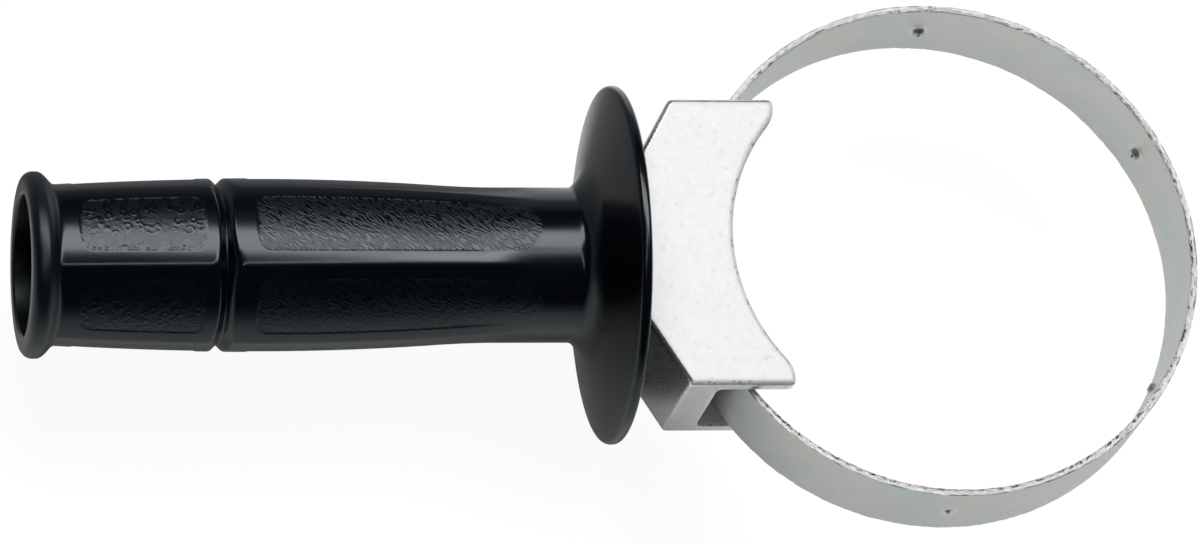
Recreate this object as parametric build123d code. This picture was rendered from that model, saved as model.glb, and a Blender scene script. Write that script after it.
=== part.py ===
"""Clamp-on side handle for a power tool: a turning grip that draws a steel band tight round a collar.

Millimetres. The origin is the centre of the collar that the band goes round. +X runs along the
handle, away from the grip, +Z along the collar and +Y across the saddle.
"""

from build123d import *
from math import asin, cos, radians, sin, sqrt, tan
import os

# Steel band
loop_radius = 54.8            # outside of the round part of the loop
strap_thickness = 1.5
strap_width = 21.0
strap_end_gap = 0.15          # between the two overlapping ends
strap_end_clearance = 0.1     # between the tip of each end and the other leg's bend
bend_radius = 3.0             # middle of the strip, where a leg turns into its flat end
leg_angle = 34.0              # where a leg leaves the loop, from the handle's axis
flats_outside_loop = 2.4      # loop's circle to the outer face of the outer flat end
pip_diameter = 3.4
pip_top_diameter = 1.4
pip_height = 1.2
dent_diameter = 2.2
dent_depth = 1.0
pip_count = 4
pip_spacing = 60.0
pip_middle = -1.5             # angle that the row of pips is centred on

# Saddle
saddle_width = 30.5           # along the collar
back_flat_height = 31.6
back_chamfer_length = 9.1     # along the handle
back_wall = 5.1               # behind the band, at the bolt
web_length = 20.6             # back face to the deepest point of the jaw
saddle_length = 31.5          # back face to the tips
jaw_radius = 40.2
tip_land = 4.2                # across the handle, edge of the jaw to the saddle's end
tip_rounding = 7.0            # between the jaw and the tips
tip_corner_rounding = 1.0     # between the tips and the ends
casting_bevel = 0.7           # all round both outer faces
corner_rounding = 0.8         # between the back, its chamfers and the ends
channel_width = 22.5          # between the side plates
channel_rounding = 1.6        # between the channel's floor and the plates
draw_in = 4.0                 # how far the turning grip can pull the band
draw_clearance = 0.5          # left between the band and the floor after that

# Clamp bolt and what it passes through
bolt_diameter = 8.0
bolt_length = 40.0            # under the head
bolt_tip_chamfer = 1.0
head_diameter = 20.65
head_height = 4.6
head_top_diameter = 9.0
head_rim = 0.9                # straight part of the head's edge
neck_width = 8.1              # square neck, in the square holes of the band
neck_clearance = 0.1
bolt_hole_clearance = 0.5     # round the shank, in the saddle and the grip
washer_diameter = 24.0
washer_thickness = 1.5
washer_clearance = 0.3        # round the shank
turning_gap = 0.1             # between the washer and the grip
insert_across_flats = 13.0
insert_length = 14.0
insert_chamfer = 0.6
insert_clearance = 0.1        # between the insert's flats and its pocket
thread_clearance = 0.1        # between the shank and the insert's bore

# Grip
grip_length = 125.0
facet_count = 6
crown_offset = 8.9            # handle's axis to the centre line that a facet is turned about
ridge_phase = 110.0           # angle of one ridge, from +Y towards +Z
neck_radius = 16.5            # to the middle of a facet, next to the lip
belly_radius = 18.0           # the same at the thickest place
waist_radius = 14.0           # the same next to the guard
facets_from_end = 4.0         # end face to the start of the facets
groove_from_end = 40.3        # end face to the middle of the groove
belly_past_groove = 10.0      # groove to the thickest place
waist_setback = 9.0           # guard to the end of the facets, inside the flare
station_count = 7             # places along a facet where its profile is set
facet_cover = 0.2             # depth of the lip's and the flare's necks under the facets
lip_radius = 19.3
lip_rounding = 2.1
lip_crest_length = 3.6        # end face to where the lip falls away
lip_length = 6.4              # end face to the lip's root
lip_root_rounding = 2.5
groove_radius = 16.4          # at the bottom
groove_half_angle = 45.0
mouth_radius = 14.65
mouth_bevel = 0.5
hollow_floor_radius = 12.8

# Guard
guard_radius = 37.5
guard_rim = 2.2               # thickness at the edge
guard_rim_bevel = 0.6
guard_wall = 2.6              # along the handle
guard_slope = 14.0            # of the front face, from square to the handle
flare_radius = 10.5
dish_rim = 2.7                # width of the flat round the dished back
boss_radius = 13.0
rounding_chords = 3           # flats that stand for each rounding of a turned outline

# Places along the handle, from the collar's centre
loop_middle_radius = loop_radius - strap_thickness / 2
outer_flat_x = -loop_radius - flats_outside_loop
head_seat_x = outer_flat_x + 2 * strap_thickness + strap_end_gap
floor_x = outer_flat_x - draw_in - draw_clearance
saddle_back_x = floor_x - back_wall
guard_x = saddle_back_x - washer_thickness - turning_gap
grip_end_x = guard_x - grip_length
jaw_depth = saddle_length - web_length
jaw_edge_y = sqrt(jaw_radius**2 - (jaw_radius - jaw_depth) ** 2)
saddle_height = 2 * (jaw_edge_y + tip_land)
web_thickness = bolt_length - (head_seat_x - guard_x) + insert_chamfer + draw_clearance
hollow_floor_x = guard_x - web_thickness - thread_clearance
bolt_hole_radius = bolt_diameter / 2 + bolt_hole_clearance
neck_setback = grip_length - facets_from_end
groove_setback = grip_length - groove_from_end
belly_setback = groove_setback - belly_past_groove


def rounded(before, corner, after, radius):
    """Points along the rounding of an outline's corner."""
    inward = (before - corner).normalized()
    onward = (after - corner).normalized()
    half = radians(inward.get_angle(onward) / 2)
    centre = corner + (inward + onward).normalized() * (radius / sin(half))
    start = corner + inward * (radius / tan(half)) - centre
    end = corner + onward * (radius / tan(half)) - centre
    steps = [index / rounding_chords for index in range(rounding_chords + 1)]
    spokes = [(start * (1 - share) + end * share).normalized() for share in steps]
    return [centre + spoke * radius for spoke in spokes]


def turned(points, roundings):
    """Solid turned about the handle's axis, from a closed outline of (x, radius) points.

    Roundings gives the radius of each corner that is rounded, by its place in the list of points.
    """
    corners = [Vector(*point) for point in points]
    outline = []
    for index, corner in enumerate(corners):
        if index in roundings:
            after = corners[(index + 1) % len(corners)]
            outline += rounded(corners[index - 1], corner, after, roundings[index])
        else:
            outline.append(corner)
    return revolve(make_face(Polyline(*outline, close=True)), axis=Axis.X)


def bar(radius, x_start, x_end):
    """Round bar along the handle's axis."""
    length = x_end - x_start
    return Pos(x_start + length / 2, 0, 0) * Rot(0, 90, 0) * Cylinder(radius, length)


# Band

def leg_line(flat_x, side):
    """Where a leg leaves the loop, and where its middle line meets the flat end at flat_x."""
    away = radians(leg_angle)
    tangent = (-loop_middle_radius * cos(away), side * loop_middle_radius * sin(away))
    run = (tangent[0] - flat_x) / sin(away)
    knee = (flat_x, tangent[1] - side * run * cos(away))
    return tangent, knee


def pip(angle):
    """Pressed pip, raised on the inside of the loop, and the dent that its punch left outside."""
    base_x = loop_middle_radius
    top_x = loop_radius - strap_thickness - pip_height
    spread = (pip_diameter - pip_top_diameter) / 2 * (base_x - top_x) / pip_height
    raised = Cone(pip_top_diameter / 2 + spread, pip_top_diameter / 2, base_x - top_x)
    dent = Cone(dent_diameter, 0, 2 * dent_depth)
    raised = Pos((base_x + top_x) / 2, 0, 0) * Rot(0, -90, 0) * raised
    dent = Pos(loop_radius, 0, 0) * Rot(0, -90, 0) * dent
    return Rot(0, 0, angle) * raised, Rot(0, 0, angle) * dent


def make_strap():
    outer_middle_x = outer_flat_x + strap_thickness / 2
    inner_middle_x = head_seat_x - strap_thickness / 2
    upper_tangent, upper_knee = leg_line(outer_middle_x, 1)
    lower_tangent, lower_knee = leg_line(inner_middle_x, -1)
    bend_run = (bend_radius + strap_thickness / 2) * tan(radians(leg_angle / 2))
    end_reach = upper_knee[1] - bend_run - strap_end_clearance
    upper_end = (outer_middle_x, -end_reach)
    lower_end = (inner_middle_x, end_reach)
    path = FilletPolyline(upper_end, upper_knee, upper_tangent, radius=bend_radius)
    path += ThreePointArc(upper_tangent, (loop_middle_radius, 0), lower_tangent)
    path += FilletPolyline(lower_tangent, lower_knee, lower_end, radius=bend_radius)
    strip = extrude(trace(path, line_width=strap_thickness), amount=strap_width / 2, both=True)
    for index in range(pip_count):
        angle = pip_middle + (index - (pip_count - 1) / 2) * pip_spacing
        raised, dent = pip(angle)
        strip = strip + raised - dent
    hole = neck_width + 2 * neck_clearance
    square = Box(4 * strap_thickness, hole, hole)
    return strip - Pos((outer_flat_x + head_seat_x) / 2, 0, 0) * square


# Saddle

def leg_outer_x(y):
    """Outer face of the upper leg, at height y."""
    away = radians(leg_angle)
    tangent_x = -loop_radius * cos(away)
    tangent_y = loop_radius * sin(away)
    return tangent_x - (tangent_y - y) * tan(away)


def channel():
    """Space that the band is drawn into: its floor is level with the back, then with the chamfers."""
    tangent_y = loop_radius * sin(radians(leg_angle))
    knee_y = tangent_y - (leg_outer_x(tangent_y) - outer_flat_x) / tan(radians(leg_angle))
    chamfer_height = (saddle_height - back_flat_height) / 2
    past_y = saddle_height
    past_x = floor_x + (past_y - knee_y) * back_chamfer_length / chamfer_height
    upper = [(floor_x, knee_y), (past_x, past_y), (past_x + saddle_length, past_y)]
    lower = [(x, -y) for x, y in reversed(upper)]
    space = extrude(make_face(Polyline(*upper, *lower, close=True)), amount=channel_width / 2, both=True)
    floor_edges = space.edges().filter_by(
        lambda edge: abs(edge.center().Z) > channel_width / 4 and edge.center().X < past_x
    )
    return fillet(floor_edges, channel_rounding)


def make_saddle():
    half_height = saddle_height / 2
    chamfer_x = saddle_back_x + back_chamfer_length
    tip_x = saddle_back_x + saddle_length
    upper = [(saddle_back_x, back_flat_height / 2), (chamfer_x, half_height), (tip_x, half_height)]
    lower = [(x, -y) for x, y in reversed(upper)]
    corners = [corner_rounding, corner_rounding, tip_corner_rounding]
    outline = FilletPolyline(*upper, *lower, radius=corners + corners[::-1], close=True)
    block = extrude(make_face(outline), amount=saddle_width / 2, both=True)
    jaw_x = saddle_back_x + web_length + jaw_radius
    block -= Pos(jaw_x, 0, 0) * Cylinder(jaw_radius, 2 * saddle_width)
    jaw_edges = block.edges().filter_by(lambda edge: abs(abs(edge.center().Y) - jaw_edge_y) < 0.01)
    room = (tip_land - tip_corner_rounding) / tan(asin(jaw_edge_y / jaw_radius) / 2)
    block = fillet(jaw_edges.filter_by(Axis.Z), min(tip_rounding, room))
    rims = block.edges().filter_by(lambda edge: abs(edge.center().Z) > saddle_width / 2 - 0.01)
    block = chamfer(rims, casting_bevel)
    return block - channel() - bar(bolt_hole_radius, saddle_back_x - 1, floor_x + 1)


# Bolt, washer and insert

def make_clamp_bolt():
    tip_x = head_seat_x - bolt_length
    neck_length = head_seat_x - outer_flat_x
    neck = Pos(head_seat_x - neck_length / 2, 0, 0) * Box(neck_length, neck_width, neck_width)
    points = [
        (tip_x, 0),
        (tip_x, bolt_diameter / 2 - bolt_tip_chamfer),
        (tip_x + bolt_tip_chamfer, bolt_diameter / 2),
        (head_seat_x, bolt_diameter / 2),
        (head_seat_x, head_diameter / 2),
        (head_seat_x + head_rim, head_diameter / 2),
        (head_seat_x + head_height, head_top_diameter / 2),
        (head_seat_x + head_height, 0),
    ]
    return turned(points, {}) + neck


def make_thrust_washer():
    x_start = saddle_back_x - washer_thickness
    ring = bar(washer_diameter / 2, x_start, saddle_back_x)
    return ring - bar(bolt_diameter / 2 + washer_clearance, x_start - 1, saddle_back_x + 1)


def hexagon(across_flats, x_start, x_end):
    """Hexagonal bar along the handle, with two flats square to the collar's axis."""
    sketch = Plane.YZ.offset(x_start) * RegularPolygon(across_flats / 2, 6, major_radius=False)
    return extrude(sketch, amount=x_end - x_start)


def make_grip_insert():
    body = hexagon(insert_across_flats, hollow_floor_x, hollow_floor_x + insert_length)
    across_corners = insert_across_flats / cos(radians(30))
    points = [
        (hollow_floor_x, 0),
        (hollow_floor_x, across_corners / 2),
        (hollow_floor_x + insert_length, across_corners / 2),
        (hollow_floor_x + insert_length, 0),
    ]
    barrel = turned(points, {})
    ends = barrel.edges().filter_by(GeomType.CIRCLE)
    body = body & chamfer(ends, insert_chamfer)
    bore = bolt_diameter / 2 + thread_clearance
    return body - bar(bore, hollow_floor_x - 1, hollow_floor_x + insert_length + 1)


# Grip

def flat_radius(setback):
    """Distance from the handle's axis to the middle of a facet, at a setback from the guard."""
    if setback > belly_setback:
        end_setback, end_radius = neck_setback, neck_radius
    else:
        end_setback, end_radius = waist_setback, waist_radius
    share = (setback - belly_setback) / (end_setback - belly_setback)
    return belly_radius - (belly_radius - end_radius) * share**2


def crowned_body(direction):
    """Body turned about a line beyond the handle's axis: its near side is one crowned facet."""
    step = (neck_setback - waist_setback) / (station_count - 1)
    stations = [neck_setback - step * index for index in range(station_count)]
    profile = [(guard_x - setback, flat_radius(setback)) for setback in stations]
    foot = [(guard_x - waist_setback, -crown_offset), (guard_x - neck_setback, -crown_offset)]
    face = make_face(Polyline(*profile, *foot, close=True))
    body = revolve(face, axis=Axis((0, -crown_offset, 0), (1, 0, 0)))
    return Rot(direction, 0, 0) * body


def facet_body():
    """Faceted stretch of the grip, from inside the lip to inside the flare."""
    directions = [ridge_phase + 360 / facet_count * (index + 0.5) for index in range(facet_count)]
    body = crowned_body(directions[0])
    for direction in directions[1:]:
        body = body & crowned_body(direction)
    return body


def lip_and_neck():
    core = neck_radius - facet_cover
    points = [
        (grip_end_x, 0),
        (grip_end_x, lip_radius),
        (grip_end_x + lip_crest_length, lip_radius),
        (grip_end_x + lip_length, core),
        (grip_end_x + 2 * lip_length, core),
        (grip_end_x + 2 * lip_length, 0),
    ]
    return turned(points, {1: lip_rounding, 3: lip_root_rounding})


def guard_and_flare():
    slope = tan(radians(guard_slope))
    core = waist_radius - facet_cover

    def front_x(radius):
        return guard_x - guard_rim - (guard_radius - radius) * slope

    dish_radius = guard_radius - dish_rim
    start_x = front_x(core) - 2 * flare_radius
    points = [
        (start_x, 0),
        (start_x, core),
        (front_x(core), core),
        (front_x(guard_radius - guard_rim_bevel), guard_radius - guard_rim_bevel),
        (guard_x - guard_rim + guard_rim_bevel, guard_radius),
        (guard_x - guard_rim_bevel, guard_radius),
        (guard_x, guard_radius - guard_rim_bevel),
        (guard_x, dish_radius),
        (front_x(boss_radius) + guard_wall, boss_radius),
        (guard_x, boss_radius),
        (guard_x, 0),
    ]
    return turned(points, {2: flare_radius})


def grip_hollow():
    points = [
        (grip_end_x, 0),
        (grip_end_x, mouth_radius + mouth_bevel),
        (grip_end_x + mouth_bevel, mouth_radius),
        (hollow_floor_x, hollow_floor_radius),
        (hollow_floor_x, 0),
    ]
    return turned(points, {})


def groove():
    """V groove all round the grip."""
    depth = lip_radius - groove_radius
    half_width = depth * tan(radians(groove_half_angle))
    centre_x = guard_x - groove_setback
    points = [
        (centre_x, groove_radius),
        (centre_x + half_width, lip_radius),
        (centre_x - half_width, lip_radius),
    ]
    return turned(points, {})


def make_grip():
    body = facet_body() + lip_and_neck() + guard_and_flare()
    body -= groove()
    body -= grip_hollow()
    pocket = insert_across_flats + 2 * insert_clearance
    body -= hexagon(pocket, hollow_floor_x - 1, hollow_floor_x + insert_length + insert_clearance)
    return body - bar(bolt_hole_radius, hollow_floor_x, guard_x + 1)


parts = {
    "strap": make_strap(),
    "saddle": make_saddle(),
    "clamp_bolt": make_clamp_bolt(),
    "thrust_washer": make_thrust_washer(),
    "grip_insert": make_grip_insert(),
    "grip": make_grip(),
}

os.makedirs("parts", exist_ok=True)
for name, shape in parts.items():
    export_step(shape, f"parts/{name}.step")
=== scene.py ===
"""Looks of a clamp-on side handle: moulded grip, cast saddle, zinc-plated band, its bolt, and a studio.

Shapes are worked out in millimetres in the part's own frame, and turned into metres as they are built.
"""
import math

import bpy
import numpy as np
from mathutils import Matrix, Vector


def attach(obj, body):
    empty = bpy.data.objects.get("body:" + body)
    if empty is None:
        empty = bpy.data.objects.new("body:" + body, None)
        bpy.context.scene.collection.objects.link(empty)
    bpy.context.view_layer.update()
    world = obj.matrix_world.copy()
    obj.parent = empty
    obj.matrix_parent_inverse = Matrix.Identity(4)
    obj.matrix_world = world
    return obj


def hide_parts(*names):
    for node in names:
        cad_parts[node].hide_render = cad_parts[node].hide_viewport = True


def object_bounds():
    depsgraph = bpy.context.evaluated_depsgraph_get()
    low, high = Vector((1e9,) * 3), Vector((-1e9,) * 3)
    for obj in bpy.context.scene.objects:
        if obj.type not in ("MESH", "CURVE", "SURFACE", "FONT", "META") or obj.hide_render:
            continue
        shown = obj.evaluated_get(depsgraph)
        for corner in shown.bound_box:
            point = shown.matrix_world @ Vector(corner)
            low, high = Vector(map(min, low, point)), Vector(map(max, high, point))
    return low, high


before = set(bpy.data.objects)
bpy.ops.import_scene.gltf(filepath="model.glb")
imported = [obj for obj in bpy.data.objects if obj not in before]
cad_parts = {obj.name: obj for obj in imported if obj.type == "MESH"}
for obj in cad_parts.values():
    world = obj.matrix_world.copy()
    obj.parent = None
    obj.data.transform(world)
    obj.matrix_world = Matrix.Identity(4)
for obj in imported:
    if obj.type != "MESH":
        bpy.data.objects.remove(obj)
cad_low, cad_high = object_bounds()

MM = 0.001

# Grip. A setback is a distance behind the guard's front face, which is at guard_x.
guard_x = -68.4
grip_length = 125.0
facet_count = 6
ridge_phase = 110.0
crown_offset = 8.9
neck_radius, belly_radius, waist_radius = 16.5, 18.0, 14.0
neck_setback, belly_setback, waist_setback = 121.0, 74.7, 9.0
ridge_softness = 0.7
lip_radius, lip_rounding, lip_crest_end, lip_root = 19.3, 2.1, 2.9, 7.3
lip_core = 16.2
groove_setback, groove_radius, groove_tip = 84.7, 16.4, 0.15
lip_blend, flare_blend, groove_blend, flare_inset = 0.5, 0.7, 0.35, 0.2
mouth_radius, mouth_bevel, hollow_floor_radius = 14.65, 0.5, 12.8
guard_radius, guard_rim, guard_wall, guard_slope = 37.5, 2.2, 2.6, 14.0
flare_radius, dish_radius, boss_radius = 10.5, 34.8, 13.0
facets_end, plain_setback = 8.1, 8.2
bolt_hole_radius = 4.5
pocket_across_flats, pocket_depth, hollow_floor_setback = 13.2, 14.1, 26.85
panel_depth, panel_margin, panel_edge_width = 0.14, 2.7, 0.55
rear_panel = {"ends": (115.1, 88.8), "corners": (3.0, 2.6)}
front_panel = {"ends": (78.5, 18.0), "corners": (3.0, 6.0)}
skin_spacing = 20.0
dull_end, dull_fade = 4.0, 3.0

# Band
loop_radius, strap_thickness, strap_width = 54.8, 1.5, 21.0
leg_angle, bend_radius = 34.0, 3.0
outer_flat_x = -57.2
strap_end_gap, strap_end_clearance = 0.15, 0.1
square_hole = 8.3
pip_angles = (88.5, 28.5, -31.5, -91.5)
pip_radius, pip_height, dent_radius, dent_depth = 1.8, 1.2, 1.0, 0.95
pip_rim_radius, pip_pit_depth, pip_zone = 0.75, 0.6, 4.0
dent_wall, dent_stretch, soft_wall = 0.7, 0.65, 0.5
# Strengths of the painted shade on the pips and in the dents, and of the painted highlight round them
pip_shade_weight, dent_shade_weight, painted_highlight_weight = 0.6, 0.75, 0.15
edge_start, edge_run, cut_start, cut_run = 10.0, 0.42, 10.3, 0.12
edge_inset, corner_wear, nick_level, nick_depth = 0.05, 0.07, 0.72, 1.1
edge_seeds = {1: 5, -1: 11}  # by the side of the band, 1 for +Z
loop_chords, heading_step = 1400, 0.05
station_spacing, hole_clearance, closest_stations = 0.75, 0.15, 0.02

# Saddle
pin_mark, pin_radius = (-40.8, -26.6, 15.2), 0.9
casting_grid, worn_passes, rounder_passes = 0.42, 5, 12
upper_end_start, upper_end_fade = 14.0, 8.0

# Bolt
head_seat_x = outer_flat_x + 2 * strap_thickness + strap_end_gap
bolt_radius, bolt_length, thread_pitch, thread_depth = 4.0, 40.0, 1.25, 0.65
thread_length = 24.0
head_radius, head_height, head_rim = 10.325, 4.6, 0.9
neck_width, neck_corner_share = 8.1, 1.36
seat_radius, shank_play = 7.5, 0.05
tip_radius, tip_chamfer = 2.9, 0.9


# Shader maths

class Value:
    """One output of a shader node. Arithmetic on it adds Math nodes."""

    def __init__(self, finish, socket):
        self.finish = finish
        self.socket = socket

    def math(self, operation, *operands):
        return self.finish.node("ShaderNodeMath", {"operation": operation}, dict(enumerate(operands)))

    def __add__(self, other):
        return self.math("ADD", self, other)

    def __sub__(self, other):
        return self.math("SUBTRACT", self, other)

    def __rsub__(self, other):
        return self.math("SUBTRACT", other, self)

    def __mul__(self, other):
        return self.math("MULTIPLY", self, other)

    __radd__ = __add__
    __rmul__ = __mul__

    def apart(self, level):
        """How far the value is from a level, whichever side it is on."""
        gap = self - level
        return gap.math("ABSOLUTE", gap)

    def step(self, low, high):
        """Rises smoothly from 0 to 1 while the value goes from low to high."""
        sockets = {"Value": self, "From Min": low, "From Max": high}
        return self.finish.node("ShaderNodeMapRange", {"interpolation_type": "SMOOTHSTEP"}, sockets)


class Finish:
    """A node tree that is built from Values."""

    def __init__(self, tree):
        self.tree = tree
        tree.nodes.clear()

    def node(self, kind, settings=None, sockets=None, output=0):
        """A node of one kind, with its settings, then its sockets' values or links. Gives one output."""
        node = self.tree.nodes.new(kind)
        for name, value in (settings or {}).items():
            setattr(node, name, value)
        for key, value in (sockets or {}).items():
            if isinstance(value, Value):
                self.tree.links.new(value.socket, node.inputs[key])
            else:
                node.inputs[key].default_value = value
        return Value(self, node.outputs[output])

    def blend(self, share, first, second):
        """The first colour where share is 0, the second where it is 1."""
        return self.node("ShaderNodeMix", {"data_type": "RGBA"}, {0: share, 6: first, 7: second}, 2)

    def part(self, vector, axis):
        """One number of a vector: its X, Y or Z."""
        return self.node("ShaderNodeSeparateXYZ", {}, {"Vector": vector}, axis)

    def millimetres(self):
        """The place on the piece, in millimetres of its own frame."""
        place = self.node("ShaderNodeTexCoord", output="Object")
        return self.node("ShaderNodeVectorMath", {"operation": "SCALE"}, {0: place, "Scale": 1000})

    def stretched(self, vector, factors, turn=0.0):
        """The place turned about its third axis, then scaled. A factor below 1 draws the pattern out."""
        rotation = (0, 0, math.radians(turn))
        turned = self.node("ShaderNodeMapping", {}, {"Vector": vector, "Rotation": rotation})
        return self.node("ShaderNodeMapping", {}, {"Vector": turned, "Scale": factors})

    def noise(self, vector, size, detail=2.0, roughness=0.5):
        """Noise from 0 to 1 with features about size millimetres across."""
        sockets = {"Vector": vector, "Scale": 1 / size, "Detail": detail, "Roughness": roughness}
        return self.node("ShaderNodeTexNoise", {}, sockets)

    def attribute(self, name, output="Fac"):
        return self.node("ShaderNodeAttribute", {"attribute_name": name}, {}, output)

    def bump(self, height, depth):
        """Surface relief: height from 0 to 1 stands for depth in millimetres."""
        return self.node("ShaderNodeBump", {}, {"Height": height, "Distance": depth * MM, "Strength": 1.0})

    def surface(self, **sockets):
        """A Principled surface. An underscore in a socket's name stands for a space."""
        named = {key.replace("_", " "): value for key, value in sockets.items()}
        shader = self.node("ShaderNodeBsdfPrincipled", {}, named)
        self.node_output(shader)

    def node_output(self, shader, kind="ShaderNodeOutputMaterial"):
        output = self.tree.nodes.new(kind)
        self.tree.links.new(shader.socket, output.inputs["Surface"])


def new_finish(name):
    material = bpy.data.materials.new(name)
    material.use_nodes = True
    return material, Finish(material.node_tree)


def black_moulding():
    material, finish = new_finish("black_moulding")
    place = finish.millimetres()
    skin = finish.attribute("skin", "Vector")
    rear = finish.attribute("rear_grain")
    front = finish.attribute("front_grain")
    matt = finish.attribute("matt")
    # Broken rings on the rear panels, slanting creases on the front ones
    cells = finish.node(
        "ShaderNodeTexVoronoi",
        {"feature": "SMOOTH_F1"},
        {"Vector": skin, "Scale": 0.55, "Smoothness": 0.4, "Randomness": 1.0},
    )
    broken = finish.noise(skin, 1.6, 1.0).step(0.25, 0.5)
    rings = 1 - cells.apart(0.38).step(0.0, 0.24)
    crumbs = finish.noise(skin, 1.1, 1.0, 0.5)
    slant = finish.noise(finish.stretched(skin, (0.4, 1.2, 1.0), 40), 1.0, 1.5, 0.5)
    creases = slant.apart(0.5).step(0.0, 0.12)
    flecks = finish.noise(finish.stretched(skin, (0.7, 1.1, 1.0), 40), 0.8, 1.5, 0.5)
    sheen = finish.noise(place, 14.0, 2.0)
    speck = finish.noise(place, 0.5, 2.0, 0.6)
    grain = rear * (rings * broken * 0.25 + crumbs * 0.35) + front * (creases * 0.18 + flecks * 0.22)
    height = grain + speck * 0.02
    scuffed = rear * (1 - rings * broken) * 0.6 + front * (1 - creases)
    tone = finish.blend(sheen, (0.0008, 0.002, 0.0042, 1), (0.0016, 0.0032, 0.0056, 1))
    finish.surface(
        Base_Color=tone,
        Roughness=0.16 + sheen * 0.05 + matt * 0.2 + scuffed * 0.16,
        Normal=finish.bump(height, 0.13),
        IOR=1.5,
        Specular_Tint=(0.86, 0.97, 1.0, 1),
    )
    return material


def cast_aluminium():
    material, finish = new_finish("cast_aluminium")
    place = finish.millimetres()
    facing = finish.node("ShaderNodeTexCoord", output="Normal")
    along_handle, across, along_collar = (finish.part(facing, axis) for axis in "XYZ")
    flat = along_collar.apart(0).step(0.93, 0.995)
    blast = finish.noise(place, 0.35, 3.0, 0.65)
    mottle = finish.noise(place, 1.6, 4.0, 0.6)
    cloud = finish.noise(place, 7.0, 3.0, 0.5)
    pits = 1 - finish.noise(place, 1.3, 1.0, 0.5).step(0.25, 0.34)
    tone = finish.blend(cloud.step(0.35, 0.65), (0.86, 0.85, 0.845, 1), (0.87, 0.87, 0.85, 1))
    tone = finish.blend(mottle.step(0.4, 0.85) * 0.7, tone, (0.69, 0.685, 0.68, 1))
    tone = finish.blend(pits * 0.2, tone, (0.48, 0.47, 0.46, 1))
    tone = finish.blend(flat * 0.5, tone, (0.72, 0.72, 0.71, 1))
    # The flat sides' edges are pale at the jaw and at the lower end, with dark chips. The paleness is
    # partly rubbed wear and partly a painted highlight: only edges facing towards +X and -Y get it.
    edge = (1 - flat) * along_collar.apart(0).step(0.12, 0.4) * (along_handle - across).step(-0.2, 0.4)
    chips = edge * finish.noise(place, 1.4, 2.0, 0.6).step(0.57, 0.64)
    tone = finish.blend(edge * 0.5, tone, (0.9, 0.9, 0.89, 1))
    tone = finish.blend(chips * 0.7, tone, (0.25, 0.25, 0.25, 1))
    # A faint ring left by an ejector pin of the mould
    ends = {0: place, 1: pin_mark}
    from_pin = finish.node("ShaderNodeVectorMath", {"operation": "DISTANCE"}, ends, "Value")
    ring = 1 - from_pin.apart(pin_radius).step(0.0, 0.45)
    tone = finish.blend(ring * mottle.step(0.35, 0.6) * 0.3, tone, (0.4, 0.4, 0.4, 1))
    finish.surface(
        Base_Color=tone,
        Metallic=0.9 - flat * 0.4 - edge * 0.8,
        Roughness=0.2 + blast * 0.12 + flat * 0.32 + edge * 0.4,
        Normal=finish.bump(blast * 0.6 + mottle * 0.4 - pits * 0.5, 0.05),
    )
    return material


def zinc_band():
    material, finish = new_finish("zinc_band")
    place = finish.millimetres()
    strip = finish.attribute("strip", "Vector")
    cut = finish.attribute("cut_edge")
    painted_pip_shading = finish.attribute("painted_pip_shading")
    drift = finish.noise(place, 22.0, 2.0, 0.5)
    wash = finish.noise(place, 13.0, 2.0, 0.5)
    amber = finish.noise(finish.stretched(place, (1, 1, 1.5), 40), 17.0, 2.0, 0.5)
    fine = finish.noise(place, 0.6, 3.0, 0.6)
    tone = finish.blend(drift.step(0.35, 0.65), (0.70, 0.72, 0.735, 1), (0.745, 0.735, 0.715, 1))
    tone = finish.blend(wash.step(0.36, 0.7) * 0.8, tone, (0.63, 0.71, 0.70, 1))
    tone = finish.blend(amber.step(0.42, 0.75) * 0.8, tone, (0.76, 0.725, 0.665, 1))
    tone = finish.blend(fine.step(0.35, 0.9) * 0.25, tone, (0.64, 0.64, 0.63, 1))
    # Painted shade on the pips' flanks and in the dents, in a pale painted highlight
    painted_shade = painted_pip_shading.step(0.3, 1.0)
    painted_highlight = painted_pip_shading.step(0.0, 0.2) * (1 - painted_shade)
    tone = finish.blend(painted_highlight * 0.6, tone, (0.84, 0.84, 0.83, 1))
    tone = finish.blend(painted_shade * 0.8, tone, (0.24, 0.24, 0.25, 1))

    # The sheared edge: burnished beside the outer face, torn beside the inner one
    depth = finish.part(strip, "Y")
    waver = finish.noise(finish.stretched(strip, (1, 0, 1)), 2.2, 2.0)
    burnished = (depth + waver * 0.35).step(0.0, 0.2)
    streaks = finish.noise(finish.stretched(strip, (0.6, 1.3, 1)), 0.8, 3.0, 0.65)
    # Near-black marks, sunk into the cut edge, come in patches, with fewer of them towards +Y
    upward = finish.part(place, "Y")
    dark_mark_patches = finish.noise(finish.stretched(strip, (1, 0, 1)), 9.0, 1.0).step(0.35, 0.6)
    dark_mark_patches = dark_mark_patches * 0.5 + 0.5 - upward.step(-10, 45) * 0.5
    dark_sunk_marks = (1 - (streaks + burnished * 0.16).step(0.37, 0.46)) * dark_mark_patches
    sheared = finish.blend(streaks.step(0.35, 0.65), (0.46, 0.46, 0.455, 1), (0.62, 0.615, 0.60, 1))
    torn = finish.blend(streaks.step(0.4, 0.7), (0.40, 0.40, 0.395, 1), (0.57, 0.57, 0.56, 1))
    edge = finish.blend(burnished, torn, sheared)
    edge = finish.blend(dark_sunk_marks, edge, (0.05, 0.05, 0.055, 1))
    finish.surface(
        Base_Color=finish.blend(cut, tone, edge),
        Metallic=0.9,
        Roughness=0.38 + fine * 0.12 + cut * 0.12,
        Normal=finish.bump(fine * 0.15 + cut * (streaks - dark_sunk_marks) * 0.8, 0.16),
    )
    return material


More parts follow.
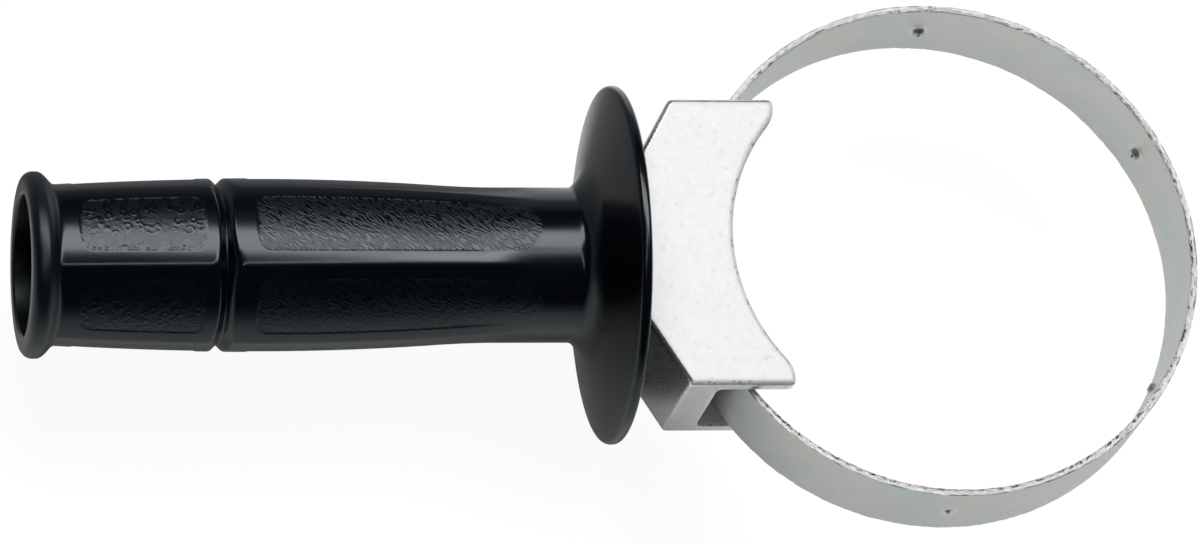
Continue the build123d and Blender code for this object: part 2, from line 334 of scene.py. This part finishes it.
def plated_steel():
    material, finish = new_finish("plated_fasteners")
    place = finish.millimetres()
    drift = finish.noise(place, 5.0, 3.0, 0.55)
    fine = finish.noise(place, 0.3, 3.0, 0.6)
    tone = finish.blend(drift.step(0.3, 0.7), (0.62, 0.64, 0.66, 1), (0.70, 0.68, 0.62, 1))
    finish.surface(
        Base_Color=tone,
        Metallic=1.0,
        Roughness=0.26 + fine * 0.16,
        Normal=finish.bump(fine, 0.02),
    )
    return material


# Shapes

def smooth_max(first, second, width):
    """The larger value, with a soft change from one to the other."""
    share = np.clip(0.5 + 0.5 * (first - second) / width, 0, 1)
    return second + (first - second) * share + width * share * (1 - share)


def smooth_step(value):
    """Rises smoothly from 0 to 1 while the value does."""
    value = np.clip(value, 0, 1)
    return value * value * (3 - 2 * value)


def rounded(points, roundings, chord_angle=9.0):
    """The outline with its corners rounded. Roundings gives a radius by a corner's place in the list."""
    outline = []
    for index, point in enumerate(points):
        if index not in roundings:
            outline.append(point)
            continue
        corner = Vector(point)
        inward = (Vector(points[index - 1]) - corner).normalized()
        onward = (Vector(points[index + 1]) - corner).normalized()
        half = inward.angle(onward) / 2
        radius = roundings[index]
        centre = corner + (inward + onward).normalized() * (radius / math.sin(half))
        start = corner + inward * (radius / math.tan(half)) - centre
        end = corner + onward * (radius / math.tan(half)) - centre
        chords = max(3, round(math.degrees(start.angle(end)) / chord_angle))
        for step in range(chords + 1):
            spoke = start.lerp(end, step / chords).normalized() * radius
            outline.append(tuple(centre + spoke))
    return outline


def filled(points, spacing):
    """The outline with points added on its long runs."""
    full = [points[0]]
    for before, after in zip(points, points[1:]):
        count = max(1, math.ceil(math.dist(before, after) / spacing))
        for step in range(1, count + 1):
            share = step / count
            full.append(tuple(a + (b - a) * share for a, b in zip(before, after)))
    return full


def wrapped_quads(row_count, column_count, close_rows):
    """Quads of a grid that closes round its columns, and round its rows too if asked."""
    rows = np.arange(row_count if close_rows else row_count - 1)
    columns = np.arange(column_count)
    row, column = np.meshgrid(rows, columns, indexing="ij")
    next_row, next_column = (row + 1) % row_count, (column + 1) % column_count
    corners = [
        row * column_count + column,
        row * column_count + next_column,
        next_row * column_count + next_column,
        next_row * column_count + column,
    ]
    return np.stack(corners, axis=-1).reshape(-1, 4)


def new_piece(name, points, faces, material, body, stands_for, crease, marks=None):
    """Builds a piece from points in millimetres, hangs it on its body and hides the solid's node that it
    stands for.
    """
    mesh = bpy.data.meshes.new(name)
    mesh.from_pydata((np.asarray(points) * MM).tolist(), [], [list(map(int, face)) for face in faces])
    for mark, (kind, values) in (marks or {}).items():
        layer = mesh.attributes.new(mark, kind, "POINT")
        field = "vector" if kind == "FLOAT_VECTOR" else "value"
        layer.data.foreach_set(field, np.asarray(values, np.float32).ravel())
    mesh.validate()
    piece = bpy.data.objects.new(name, mesh)
    bpy.context.scene.collection.objects.link(piece)
    dress(piece, material, body, stands_for, crease)


def dress(piece, material, body, stands_for, crease):
    """Gives a piece its material, its smooth shading and its body, and hides the node it replaces."""
    piece.data.materials.clear()
    piece.data.materials.append(material)
    piece.data.shade_smooth()
    piece.data.set_sharp_from_angle(angle=math.radians(crease))
    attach(piece, body)
    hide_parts(stands_for)


# Grip

def flat_radius(setback):
    """Distance from the handle's axis to the middle of a facet."""
    past = setback - belly_setback
    if past > 0:
        return belly_radius - (belly_radius - neck_radius) * (past / (neck_setback - belly_setback)) ** 2
    return belly_radius - (belly_radius - waist_radius) * (past / (waist_setback - belly_setback)) ** 2


# Distances of the grid's lines from a ridge, closest at the ridge and along a panel's edge
ridge_lines = [0, 0.15, 0.3, 0.5, 0.8, 1.2, 1.6, 2.0, 2.35, 2.6, 2.75, 2.9, 3.05, 3.2, 3.4, 3.75]
ridge_lines += [4.2, 4.7, 5.3, 5.9, 6.6, 7.3]


def panel_share(setback, distance, panel):
    """1 on a panel's floor, 0 outside it, with a soft wall between."""
    rear, front = panel["ends"]
    inside_rear, inside_front = rear - setback, setback - front
    inside_end = min(inside_rear, inside_front)
    corner = panel["corners"][0 if inside_rear < inside_front else 1]
    inside_side = distance - panel_margin
    plain = np.minimum(inside_side, inside_end)
    at_corner = corner - np.hypot(corner - inside_side, corner - inside_end)
    in_corner = (inside_side < corner) & (inside_end < corner)
    return smooth_step(np.where(in_corner, at_corner, plain) / panel_edge_width)


def facet_half(setback):
    """Half a facet, from ridge to middle: angle from the middle, radius, distances from both."""
    crown = flat_radius(setback) + crown_offset
    half = math.pi / facet_count
    ridge = math.sqrt(crown**2 - (crown_offset * math.sin(half)) ** 2) - crown_offset * math.cos(half)
    reach = ridge * math.sin(half)
    distance = np.array(ridge_lines + [reach])
    softened = np.where(
        distance < ridge_softness,
        (distance**2 + ridge_softness**2) / (2 * ridge_softness),
        distance,
    )
    height = np.sqrt(crown**2 - (reach - distance) ** 2) - crown_offset
    soft_height = np.sqrt(crown**2 - (reach - softened) ** 2) - crown_offset
    angle = np.arctan2(reach - distance, height)
    return angle, np.hypot(reach - softened, soft_height), distance, reach - distance


def all_round(half, mirror=1.0):
    """Repeats the values of half a facet round the grip."""
    other = mirror * half[-2:0:-1]
    return np.tile(np.concatenate([half, other]), facet_count)


def column_angles(setback):
    """Angles of the grid's columns round the handle's axis."""
    angle = facet_half(setback)[0]
    within = np.concatenate([-angle, angle[-2:0:-1]])
    middles = np.radians(ridge_phase + 360 / facet_count * (np.arange(facet_count) + 0.5))
    return (middles[:, None] + within[None, :]).ravel()


def lip_profile(distance):
    """Radius of the rolled lip, by distance from the end face."""
    if distance < lip_rounding:
        return lip_radius - lip_rounding + math.sqrt(lip_rounding**2 - (lip_rounding - distance) ** 2)
    if distance < lip_crest_end:
        return lip_radius
    share = min((distance - lip_crest_end) / (lip_root - lip_crest_end), 1)
    return lip_core + (lip_radius - lip_core) * (0.5 + 0.5 * math.cos(math.pi * share))


# Where the hollow curve leaves the grip, and the corner that it rounds at the guard
slope = math.tan(math.radians(guard_slope))
flare_core = waist_radius - flare_inset
flare_corner = guard_rim + (guard_radius - flare_core) * slope
flare_start = flare_corner + flare_radius / math.tan(math.radians((90 + guard_slope) / 2))


def flare_profile(setback):
    """Radius of the hollow curve that runs up into the guard."""
    past = flare_start - setback
    if past <= 0:
        return flare_core
    return flare_core + flare_radius - math.sqrt(flare_radius**2 - past**2)


def outside_rows():
    """Rows from the end face to the flare, where the facets show."""
    steps = [lip_rounding * (1 - math.cos(math.radians(a))) for a in range(0, 90, 9)]
    # Start, end and spacing of each run of rows, by distance from the end face
    runs = [(2.1, 9.6, 0.3), (9.6, 13.6, 0.25), (13.6, 32.9, 1.25), (32.9, 36.4, 0.25), (36.4, 38.1, 0.6)]
    runs += [(38.1, 42.5, 0.14), (42.5, 46.3, 0.8), (46.3, 50.3, 0.25), (50.3, 100.8, 1.5)]
    runs += [(100.8, grip_length - facets_end, 0.3)]
    for start, end, spacing in runs:
        count = round((end - start) / spacing)
        steps += [start + (end - start) * index / count for index in range(count)]
    rows = []
    for distance in steps:
        setback = grip_length - distance
        _, radius, from_ridge, across = facet_half(setback)
        rear = panel_share(setback, from_ridge, rear_panel)
        front = panel_share(setback, from_ridge, front_panel)
        radius = radius - panel_depth * (rear + front)
        radius = smooth_max(radius, lip_profile(distance), lip_blend)
        radius = smooth_max(radius, flare_profile(setback), flare_blend)
        groove = groove_radius + math.hypot(setback - groove_setback, groove_tip)
        radius = -smooth_max(-radius, -groove, groove_blend)
        rows.append((setback, column_angles(setback), radius, rear, front, across))
    return rows


def guard_rows():
    """Setback and radius of the turned rows, from the flare, round the guard, into the bolt's hole."""
    flare_centre = flare_core + flare_radius
    first = math.degrees(math.asin((flare_start - facets_end) / flare_radius))
    last = 90 - guard_slope
    turned = []
    for index in range(9):
        bend = math.radians(first + (last - first) * index / 8)
        setback = flare_start - flare_radius * math.sin(bend)
        turned.append((setback, flare_centre - flare_radius * math.cos(bend)))
    back_wall = guard_rim + (guard_radius - boss_radius) * slope - guard_wall
    outline = [
        turned[-1],
        (guard_rim, guard_radius),
        (0, guard_radius),
        (0, dish_radius),
        (back_wall, boss_radius),
        (0, boss_radius),
        (0, bolt_hole_radius),
        (hollow_floor_setback - pocket_depth, bolt_hole_radius),
    ]
    # Roundings of the rim's two edges, the dish's edge and floor, the boss, and the hole's mouth
    outline = rounded(outline, {1: 1.1, 2: 0.9, 3: 1.2, 4: 1.6, 5: 0.9, 6: 0.5}, 15)
    return turned + filled(outline, 3.0)[1:]


def hollow_rows():
    """Setback and radius of the turned rows of the open inside, from its floor to the end face."""
    # From the floor, round its corner, to the mouth, its bevel, and the lip's end face
    inside = [
        (hollow_floor_setback, hollow_floor_radius - 3),
        (hollow_floor_setback, hollow_floor_radius),
        (grip_length - mouth_bevel, mouth_radius),
        (grip_length, mouth_radius + mouth_bevel),
        (grip_length, lip_radius - lip_rounding),
    ]
    return filled(rounded(inside, {1: 1.0, 2: 0.6, 3: 0.3}), 5.0)[:-1]


def make_grip(material):
    outside, turned = outside_rows(), guard_rows()
    setbacks = [row[0] for row in outside]
    angles = [row[1] for row in outside]
    radii = [all_round(row[2]) for row in outside]
    rear = [all_round(row[3]) for row in outside]
    front = [all_round(row[4]) for row in outside]
    spread = [all_round(row[5], -1.0) for row in outside]
    plain_angles = column_angles(plain_setback)

    def add_row(setback, radius):
        setbacks.append(setback)
        angles.append(plain_angles)
        radii.append(np.broadcast_to(radius, plain_angles.shape))
        for values in (rear, front, spread):
            values.append(np.zeros(plain_angles.shape))

    for setback, radius in turned:
        add_row(setback, radius)
    # Hexagon pocket for the insert
    from_corner = np.mod(plain_angles, math.pi / 3) - math.pi / 6
    hexagon = pocket_across_flats / 2 / np.cos(from_corner)
    add_row(hollow_floor_setback - pocket_depth, hexagon)
    add_row(hollow_floor_setback, hexagon)
    for setback, radius in hollow_rows():
        add_row(setback, radius)

    setbacks, angles, radii = np.array(setbacks), np.array(angles), np.array(radii)
    x = np.broadcast_to((guard_x - setbacks)[:, None], radii.shape)
    points = np.stack([x, radii * np.cos(angles), radii * np.sin(angles)], axis=-1)
    columns = radii.shape[1]
    facet_of = np.repeat(np.arange(facet_count), columns // facet_count)
    across = np.array(spread) + facet_of[None, :] * skin_spacing
    skin = np.stack([x, across, np.zeros(radii.shape)], axis=-1)
    # The lip and the hollow are duller than the facets
    dull = np.ones(len(setbacks))
    shown = len(outside) + len(turned)
    dull[:shown] = 1 - smooth_step((grip_length - setbacks[:shown] - dull_end) / dull_fade)
    marks = {
        "rear_grain": ("FLOAT", rear),
        "front_grain": ("FLOAT", front),
        "matt": ("FLOAT", np.broadcast_to(dull[:, None], radii.shape)),
        "skin": ("FLOAT_VECTOR", skin),
    }
    faces = wrapped_quads(len(setbacks), columns, True)
    new_piece("moulded_grip", points.reshape(-1, 3), faces, material, "turning_grip",
              "grip", 38, marks)


# Band

def band_line():
    """Middle line of the band, from its outer end, round the loop, to its inner end."""
    middle = loop_radius - strap_thickness / 2
    away = math.radians(leg_angle)
    tangent = (-middle * math.cos(away), middle * math.sin(away))

    def knee(flat_x):
        return (flat_x, tangent[1] - (tangent[0] - flat_x) / math.tan(away))

    outer_x = outer_flat_x + strap_thickness / 2
    inner_x = head_seat_x - strap_thickness / 2
    bend_run = (bend_radius + strap_thickness / 2) * math.tan(away / 2)
    end_reach = knee(outer_x)[1] - bend_run - strap_end_clearance
    upper = rounded([(outer_x, -end_reach), knee(outer_x), tangent], {1: bend_radius}, 2.5)
    lower = rounded([(inner_x, -end_reach), knee(inner_x), tangent], {1: bend_radius}, 2.5)
    lower = [(x, -y) for x, y in reversed(lower)]
    sweep = np.radians(np.linspace(180 - leg_angle, leg_angle - 180, loop_chords))
    loop = [(middle * math.cos(a), middle * math.sin(a)) for a in sweep]
    return np.array(upper[:-1] + loop + lower[1:])


def with_closer(stations, middle, reach, spacing, clear):
    """The stations, with those close to a place swapped for a closer run of them."""
    others = [station for station in stations if abs(station - middle) > clear]
    return others + list(middle + np.arange(-reach, reach + 0.01, spacing))


def band_stations(line):
    """Places along the band's line for its sections, closer at the bends, the pips and the holes."""
    runs = np.hypot(*np.diff(line, axis=0).T)
    along = np.concatenate([[0], np.cumsum(runs)])
    end_reach = -line[0][1]
    edges = [end_reach - square_hole / 2, end_reach + square_hole / 2]
    holes = edges + [along[-1] - edge for edge in edges]
    on_loop = np.hypot(line[:, 0], line[:, 1]) < loop_radius - strap_thickness / 2 + 0.02
    bearing = np.degrees(np.arctan2(line[:, 1], line[:, 0]))
    on_loop &= np.abs(bearing) <= 180 - leg_angle + 0.01
    order = np.argsort(bearing[on_loop])
    pips = np.interp(pip_angles, bearing[on_loop][order], along[on_loop][order])
    stations = list(np.arange(0, along[-1], station_spacing)) + [along[-1]]
    for pip in pips:
        stations = with_closer(stations, pip, reach=2.4, spacing=0.2, clear=2.5)
    for bend in (2 * end_reach, along[-1] - 2 * end_reach):
        stations = with_closer(stations, bend, reach=3.0, spacing=0.25, clear=3.0)
    stations = [s for s in stations if min(abs(s - hole) for hole in holes) > hole_clearance]
    stations = np.array(sorted(stations + holes))
    keep = np.concatenate([[True], np.diff(stations) > closest_stations])
    return along, stations[keep], pips, holes


def band_section():
    """Places round a section of the band: outer face, +Z edge, inner face, -Z edge."""
    half_width, half_thick = strap_width / 2, strap_thickness / 2
    # Across a face, closest at the pips and at the edges
    from_middle = [0, 0.25, 0.5, 0.75, 1.0, 1.25, 1.5, 1.75, 2.0, 2.4, 3.1, square_hole / 2]
    from_middle += [5.3, 6.6, 7.8, 8.8, 9.6, 10.05, 10.3, 10.42]
    face_lines = [-value for value in reversed(from_middle[1:])] + from_middle
    wall_lines = [-0.62, -0.35, -0.05, 0.3, 0.6]
    places = [(z, half_thick) for z in face_lines]
    places += [(half_width, -t) for t in wall_lines]
    places += [(z, -half_thick) for z in reversed(face_lines)]
    places += [(-half_width, t) for t in wall_lines]
    return np.array([z for z, t in places]), np.array([t for z, t in places])


def ragged(values, seed, sizes):
    """Random wander along the band, through levels drawn one size apart and joined by straight runs."""
    chance = np.random.default_rng(seed)
    total = np.zeros(values.shape)
    for size, weight in sizes:
        knots = np.arange(values.min() - size, values.max() + 2 * size, size)
        total += weight * np.interp(values, knots, chance.uniform(-1, 1, len(knots)))
    return total


def press_pips(pips, run, z_lines, t_lines, t):
    """Raises pips on the inner face, sinks dents in the outer one, and gives the painted shade and painted
    highlight round each.
    """
    painted_pip_shading = np.zeros(t.shape)
    inner, outer, near_middle = t_lines < 0, t_lines > 0, np.abs(z_lines) < pip_zone
    for pip in pips:
        away = np.hypot(run - pip, z_lines)
        raised = pip_height * smooth_step((pip_radius - away) / (pip_radius - pip_rim_radius))
        raised -= pip_pit_depth * smooth_step((pip_rim_radius - away) / soft_wall)
        tall = np.hypot(run - pip, z_lines * dent_stretch)
        sunk = dent_depth * smooth_step((dent_radius - tall) / dent_wall)
        t -= np.where(inner, raised, 0) * near_middle
        t -= np.where(outer, sunk, 0) * near_middle
        # Painted shade: a dark ring round a pip's crown and a dark dent, each in a faint painted highlight
        painted_pip_shade = smooth_step((pip_radius - 0.1 - away) / soft_wall) * smooth_step((away - 0.55) / soft_wall)
        painted_pip_highlight = smooth_step((pip_radius + 0.9 - away) / soft_wall)
        painted_pip_shade = pip_shade_weight * painted_pip_shade + painted_highlight_weight * painted_pip_highlight
        painted_dent_shade = smooth_step((dent_radius + 0.2 - tall) / 0.9)
        painted_dent_highlight = smooth_step((dent_radius + 1.2 - tall) / soft_wall)
        painted_dent_shade = dent_shade_weight * painted_dent_shade + painted_highlight_weight * painted_dent_highlight
        painted_pip_shading += np.where(inner, painted_pip_shade, painted_dent_shade) * near_middle
    return painted_pip_shading


def fray_edges(stations, z_lines, t_lines, z, t):
    """Makes both cut edges wander and nicks them, and wears their corners, as a shear leaves them."""
    at_edge = np.clip((np.abs(z_lines) - edge_start) / edge_run, 0, 1)
    for side, seed in edge_seeds.items():
        on_side = (np.sign(z_lines) == side) * at_edge
        for row, level in enumerate(np.unique(np.round(t_lines, 2))):
            at_level = on_side * (np.abs(t_lines - level) < 0.01)
            wander = ragged(stations, seed * 100 + row, ((0.9, 0.07), (2.6, 0.06)))
            wander += 0.10 * ragged(stations, seed, ((14.0, 0.6), (5.0, 0.4)))
            chance = ragged(stations, seed * 7 + row // 3, ((1.1, 1.0),))
            nicks = np.maximum(0, chance - nick_level) * nick_depth
            z += side * (wander - nicks - edge_inset)[:, None] * at_level[None, :]
        corner = on_side * (np.abs(t_lines) > 0.7)
        fray = ragged(stations, seed * 31, ((0.8, 0.06), (3.0, 0.05)))
        t -= (np.sign(t_lines) * corner)[None, :] * (corner_wear + fray[:, None])


def with_square_holes(faces, stations, holes, z_lines, t_lines):
    """The band's faces, without those in its two square holes and with the holes' walls."""
    section = len(z_lines)
    rows, columns = np.divmod(faces[:, 0], section)
    halfway = (stations[rows] + stations[rows + 1]) / 2
    z_half = (z_lines[columns] + z_lines[(columns + 1) % section]) / 2
    in_hole = np.zeros(len(faces), bool)
    for start, end in ((holes[0], holes[1]), (holes[3], holes[2])):
        in_hole |= (halfway > start) & (halfway < end) & (np.abs(z_half) < square_hole / 2)

    def partner(vertex):
        """The vertex straight across, on the band's other face."""
        row, column = divmod(vertex, section)
        level = np.abs(z_lines - z_lines[column]) < 1e-6
        return row * section + int(np.argmax(level & (np.abs(t_lines + t_lines[column]) < 1e-6)))

    edges = {}
    for face in faces[in_hole].tolist():
        edges.update(dict.fromkeys(zip(face, face[1:] + face[:1])))
    walled = faces[~in_hole].tolist()
    for first, second in edges:
        if (second, first) not in edges and t_lines[first % section] > 0:
            walled.append([first, second, partner(second), partner(first)])
    return walled


def make_band(material):
    line = band_line()
    along, stations, pips, holes = band_stations(line)

    def line_at(places):
        return np.stack([np.interp(places, along, line[:, k]) for k in range(2)], axis=-1)

    middle = line_at(stations)
    heading = line_at(stations + heading_step) - line_at(stations - heading_step)
    heading /= np.hypot(*heading.T)[:, None]
    outward = np.stack([-heading[:, 1], heading[:, 0]], axis=-1)

    z_lines, t_lines = band_section()
    count, section = len(stations), len(z_lines)
    z = np.broadcast_to(z_lines, (count, section)).copy()
    t = np.broadcast_to(t_lines, z.shape).copy()
    run = np.broadcast_to(stations[:, None], z.shape)
    # Pips and dents in the band, with painted shade and painted highlight round them
    painted_pip_shading = press_pips(pips, run, z_lines, t_lines, t)
    fray_edges(stations, z_lines, t_lines, z, t)
    x, y = (middle[:, k][:, None] + outward[:, k][:, None] * t for k in range(2))
    points = np.stack([x, y, z], axis=-1)

    faces = with_square_holes(wrapped_quads(count, section, False), stations, holes, z_lines, t_lines)
    faces.append(list(range(section))[::-1])
    faces.append(list(range((count - 1) * section, count * section)))
    cut = np.broadcast_to(np.clip((np.abs(z_lines) - cut_start) / cut_run, 0, 1), z.shape)
    strip = np.stack([run, np.broadcast_to(t_lines, z.shape), z], axis=-1)
    marks = {
        "cut_edge": ("FLOAT", cut),
        "painted_pip_shading": ("FLOAT", painted_pip_shading),
        "strip": ("FLOAT_VECTOR", strip),
    }
    new_piece("zinc_strap", points.reshape(-1, 3), faces, material, "band", "strap", 50,
              marks)


# Bolt

def make_bolt(material):
    columns = 64
    angles = np.radians(np.arange(columns) * 360 / columns)
    top = head_seat_x + head_height
    cap = head_height - head_rim
    dome = (head_radius**2 + cap**2) / (2 * cap)
    # Domed head, from its crown to its seat
    turned = []
    for reach in np.linspace(0.02, 0.97, 12):
        radius = head_radius * reach
        turned.append((top - dome + math.sqrt(dome**2 - radius**2), radius))
    turned += [
        (head_seat_x + head_rim + 0.25, head_radius - 0.1),
        (head_seat_x + head_rim - 0.1, head_radius),
        (head_seat_x + 0.3, head_radius),
        (head_seat_x + 0.08, head_radius - 0.08),
        (head_seat_x, head_radius - 0.3),
        (head_seat_x, seat_radius),
    ]
    rows = [(x, np.full(columns, radius)) for x, radius in turned]
    # Square neck and plain shank
    square = neck_width / 2 / np.maximum(np.abs(np.cos(angles)), np.abs(np.sin(angles)))
    square = np.minimum(square, neck_width / 2 * neck_corner_share)
    shank = np.full(columns, bolt_radius - shank_play)
    rows += [(head_seat_x, square), (outer_flat_x + 0.3, square), (outer_flat_x, square - 0.3)]
    rows += [(outer_flat_x - 0.02, shank)]
    tip = head_seat_x - bolt_length
    start = tip + thread_length
    rows += [(x, shank) for x in np.linspace(outer_flat_x - 2, start + 1.5, 4)]
    # Thread, fading in at its start and cut down to a blunt tip
    for x in np.arange(start, tip, -thread_pitch / 10):
        turn = np.mod((x - tip) / thread_pitch - angles / (2 * math.pi), 1)
        flank = np.clip(np.abs(turn - 0.5) * 2 * 1.25 - 0.12, 0, 1)
        lead = min(1, (start - x) / 1.5) * min(1, (x - tip) / 0.6 + 0.25)
        blunt = bolt_radius - tip_chamfer + (x - tip)
        rows.append((x, np.minimum(bolt_radius - thread_depth * flank * lead, blunt)))
    rows += [(tip, np.full(columns, tip_radius)), (tip, np.full(columns, 0.02))]

    points = []
    for x, radius in rows:
        ring = [np.full(columns, x), radius * np.cos(angles), radius * np.sin(angles)]
        points.append(np.stack(ring, axis=-1))
    faces = [face[::-1] for face in wrapped_quads(len(rows), columns, False).tolist()]
    faces.append(list(range(columns)))
    faces.append(list(range((len(rows) - 1) * columns, len(rows) * columns))[::-1])
    new_piece("cup_bolt", np.concatenate(points), faces, material, "band",
              "clamp_bolt", 35)


# Saddle

def apply_modifiers(piece):
    """Keeps the shape that a piece's modifiers give, and takes them off."""
    view = bpy.context.evaluated_depsgraph_get()
    mesh = bpy.data.meshes.new_from_object(piece.evaluated_get(view))
    piece.modifiers.clear()
    piece.vertex_groups.clear()
    piece.data = mesh


def round_upper_end(piece):
    """The edges at the saddle's upper end are rounder than the rest."""
    group = piece.vertex_groups.new(name="upper_end")
    for vertex in piece.data.vertices:
        share = float(smooth_step((vertex.co.y / MM - upper_end_start) / upper_end_fade))
        if share > 0:
            group.add([vertex.index], share, "REPLACE")
    rounder = piece.modifiers.new("rounder", "SMOOTH")
    rounder.factor = 0.5
    rounder.iterations = rounder_passes
    rounder.vertex_group = group.name
    apply_modifiers(piece)


def make_saddle(material):
    """The casting: the solid's own shape, with its edges worn round."""
    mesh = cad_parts["saddle"].data.copy()
    mesh.name = "cast_saddle"
    piece = bpy.data.objects.new("cast_saddle", mesh)
    bpy.context.scene.collection.objects.link(piece)
    weld = piece.modifiers.new("weld", "WELD")
    weld.merge_threshold = 1e-6
    grid = piece.modifiers.new("grid", "REMESH")
    grid.mode = "VOXEL"
    grid.voxel_size = casting_grid * MM
    worn = piece.modifiers.new("worn", "SMOOTH")
    worn.factor = 0.5
    worn.iterations = worn_passes
    apply_modifiers(piece)
    round_upper_end(piece)
    dress(piece, material, "clamp_block", "saddle", 60)


# Studio

def area_light(name, place, aim, size, power):
    """A soft rectangular lamp of some watts at a place in metres, turned towards its aim."""
    data = bpy.data.lights.new(name, "AREA")
    data.shape = "RECTANGLE"
    data.size, data.size_y = size
    data.energy = power
    light = bpy.data.objects.new(name, data)
    bpy.context.scene.collection.objects.link(light)
    light.location = place
    light.rotation_euler = (Vector(place) - Vector(aim)).to_track_quat("Z", "Y").to_euler()


def make_floor():
    """A large floor just under the part, white to the camera, with the part's faint shadow on it."""
    reach, gap = 4.0, 0.0002
    level = cad_low[2] - gap
    corners = [(x * reach, y * reach, level) for x, y in ((-1, -1), (1, -1), (1, 1), (-1, 1))]
    mesh = bpy.data.meshes.new("floor")
    mesh.from_pydata(corners, [], [(0, 1, 2, 3)])
    floor = bpy.data.objects.new("floor", mesh)
    bpy.context.scene.collection.objects.link(floor)
    material, finish = new_finish("pale_floor")
    seen = finish.node("ShaderNodeLightPath", output="Is Camera Ray")
    glossy = finish.node("ShaderNodeLightPath", output="Is Glossy Ray")
    through = finish.node("ShaderNodeLightPath", output="Is Transmission Ray")
    # Reflections see a lit card, with a painted shade on it beyond the grip
    place = finish.millimetres()
    along, across = finish.part(place, "X"), finish.part(place, "Y")
    painted_shade_beyond_grip = across.step(12, 40) * (1 - along.step(-85, -62))
    reflected = finish.blend(painted_shade_beyond_grip, (0.97, 0.98, 0.985, 1), (0.25, 0.26, 0.27, 1))
    pale = finish.blend(glossy, (0.12, 0.12, 0.12, 1), reflected)
    paper = finish.node("ShaderNodeBsdfDiffuse", {}, {"Color": pale})
    shown = seen.math("MAXIMUM", seen, through) * 0.94 + glossy * (0.1 - painted_shade_beyond_grip * 0.07)
    glow = finish.node("ShaderNodeEmission", {}, {"Color": (1, 1, 1, 1), "Strength": shown})
    finish.node_output(finish.node("ShaderNodeAddShader", {}, {0: paper, 1: glow}))
    mesh.materials.append(material)


def make_room():
    """White to the camera. Lit and reflected surfaces see grey walls under a dark ceiling."""
    world = bpy.data.worlds.new("studio")
    bpy.context.scene.world = world
    world.use_nodes = True
    room = Finish(world.node_tree)
    direction = room.node("ShaderNodeTexCoord", output="Generated")
    upward, backward = room.part(direction, "Z"), room.part(direction, "Y")
    walls = 1 - (upward - backward * 0.12).step(0.05, 0.32)
    wall = room.blend(backward.step(-0.8, 0.5), (0.36, 0.38, 0.4, 1), (0.25, 0.27, 0.29, 1))
    colour = room.blend(walls, (0.02, 0.022, 0.025, 1), wall)
    seen = room.node("ShaderNodeLightPath", output="Is Camera Ray")
    colour = room.blend(seen, colour, (1, 1, 1, 1))
    room.node_output(room.node("ShaderNodeBackground", {}, {"Color": colour}), "ShaderNodeOutputWorld")


def make_camera():
    """The camera at the photograph's angle, from a fit to the photograph's outlines."""
    data = bpy.data.cameras.new("camera")
    data.lens = 240.0
    data.sensor_width = 36.0
    data.clip_end = 50.0
    camera = bpy.data.objects.new("camera", data)
    bpy.context.scene.collection.objects.link(camera)
    turn = Matrix(
        (
            (0.978574, -0.000054, -0.205896),
            (-0.070861, 0.938824, -0.337029),
            (0.193318, 0.344398, 0.918705),
        )
    )
    camera.matrix_world = Matrix.Translation((-0.41584, -0.5646, 1.5349)) @ turn.to_4x4()
    bpy.context.scene.camera = camera


def make_studio():
    make_floor()
    make_room()
    make_camera()
    area_light("overhead", (0.036, 0.383, 1.0), (-0.119, 0.0, 0.0), (1.3, 0.45), 9.9)
    area_light("ridge_light", (0.0, -0.13, 1.09), (-0.13, 0.0, 0.0), (0.9, 0.1), 1.1)
    bpy.context.scene.view_settings.view_transform = "Standard"


make_grip(black_moulding())
zinc, aluminium, plated = zinc_band(), cast_aluminium(), plated_steel()
make_band(zinc)
make_saddle(aluminium)
make_bolt(plated)
for node in ("grip_insert", "thrust_washer"):
    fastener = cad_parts[node]
    fastener.data.materials.clear()
    fastener.data.materials.append(plated)
make_studio()
